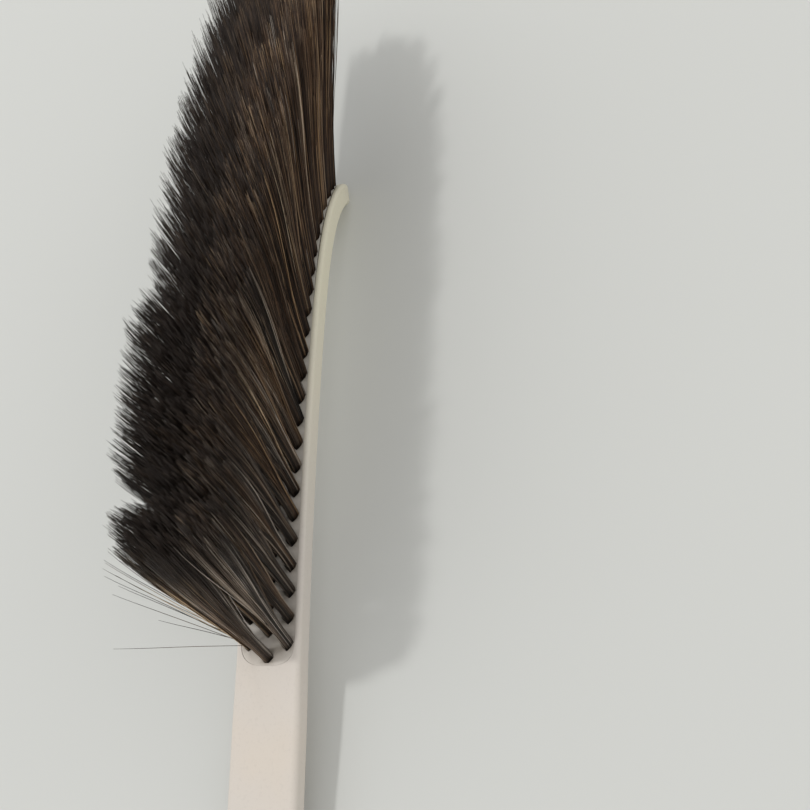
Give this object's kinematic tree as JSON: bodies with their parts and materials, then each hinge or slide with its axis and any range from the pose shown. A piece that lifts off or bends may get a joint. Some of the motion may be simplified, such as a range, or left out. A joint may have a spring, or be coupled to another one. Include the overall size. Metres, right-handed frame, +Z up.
{
  "type": "bed brush",
  "caption": "Long-handled brush with a backward-curled head, an inset tuft plate and fanned rows of long soft bristles; slot in the handle end for hanging.",
  "frame": {"origin": "on the ground, under the centre of the bounding box of the brush lying on its back", "axes": "+X from the handle's end towards the tip, +Z up on the bristle side, +Y across the brush"},
  "size_m": [0.422, 0.0467, 0.0921],
  "materials": {
    "body_plastic": "cream moulded plastic, satin",
    "plate_plastic": "cream moulded plastic, slightly duller",
    "bristle": "dark brown soft filament with tan streaks"
  },
  "bodies": {
    "root": {"brush_body": "body_plastic", "tuft_plate": "plate_plastic", "tuft_row_01": "bristle", "tuft_row_02": "bristle", "tuft_row_03": "bristle", "tuft_row_04": "bristle", "tuft_row_05": "bristle", "tuft_row_06": "bristle", "tuft_row_07": "bristle", "tuft_row_08": "bristle", "tuft_row_09": "bristle", "tuft_row_10": "bristle", "tuft_row_11": "bristle", "tuft_row_12": "bristle", "tuft_row_13": "bristle", "tuft_row_14": "bristle", "tuft_row_15": "bristle", "tuft_row_16": "bristle", "tuft_row_17": "bristle", "tuft_row_18": "bristle", "tuft_row_19": "bristle", "tuft_row_20": "bristle", "tuft_row_21": "bristle", "tuft_row_22": "bristle", "tuft_row_23": "bristle", "tuft_row_24": "bristle"}
  },
  "joints": []
}
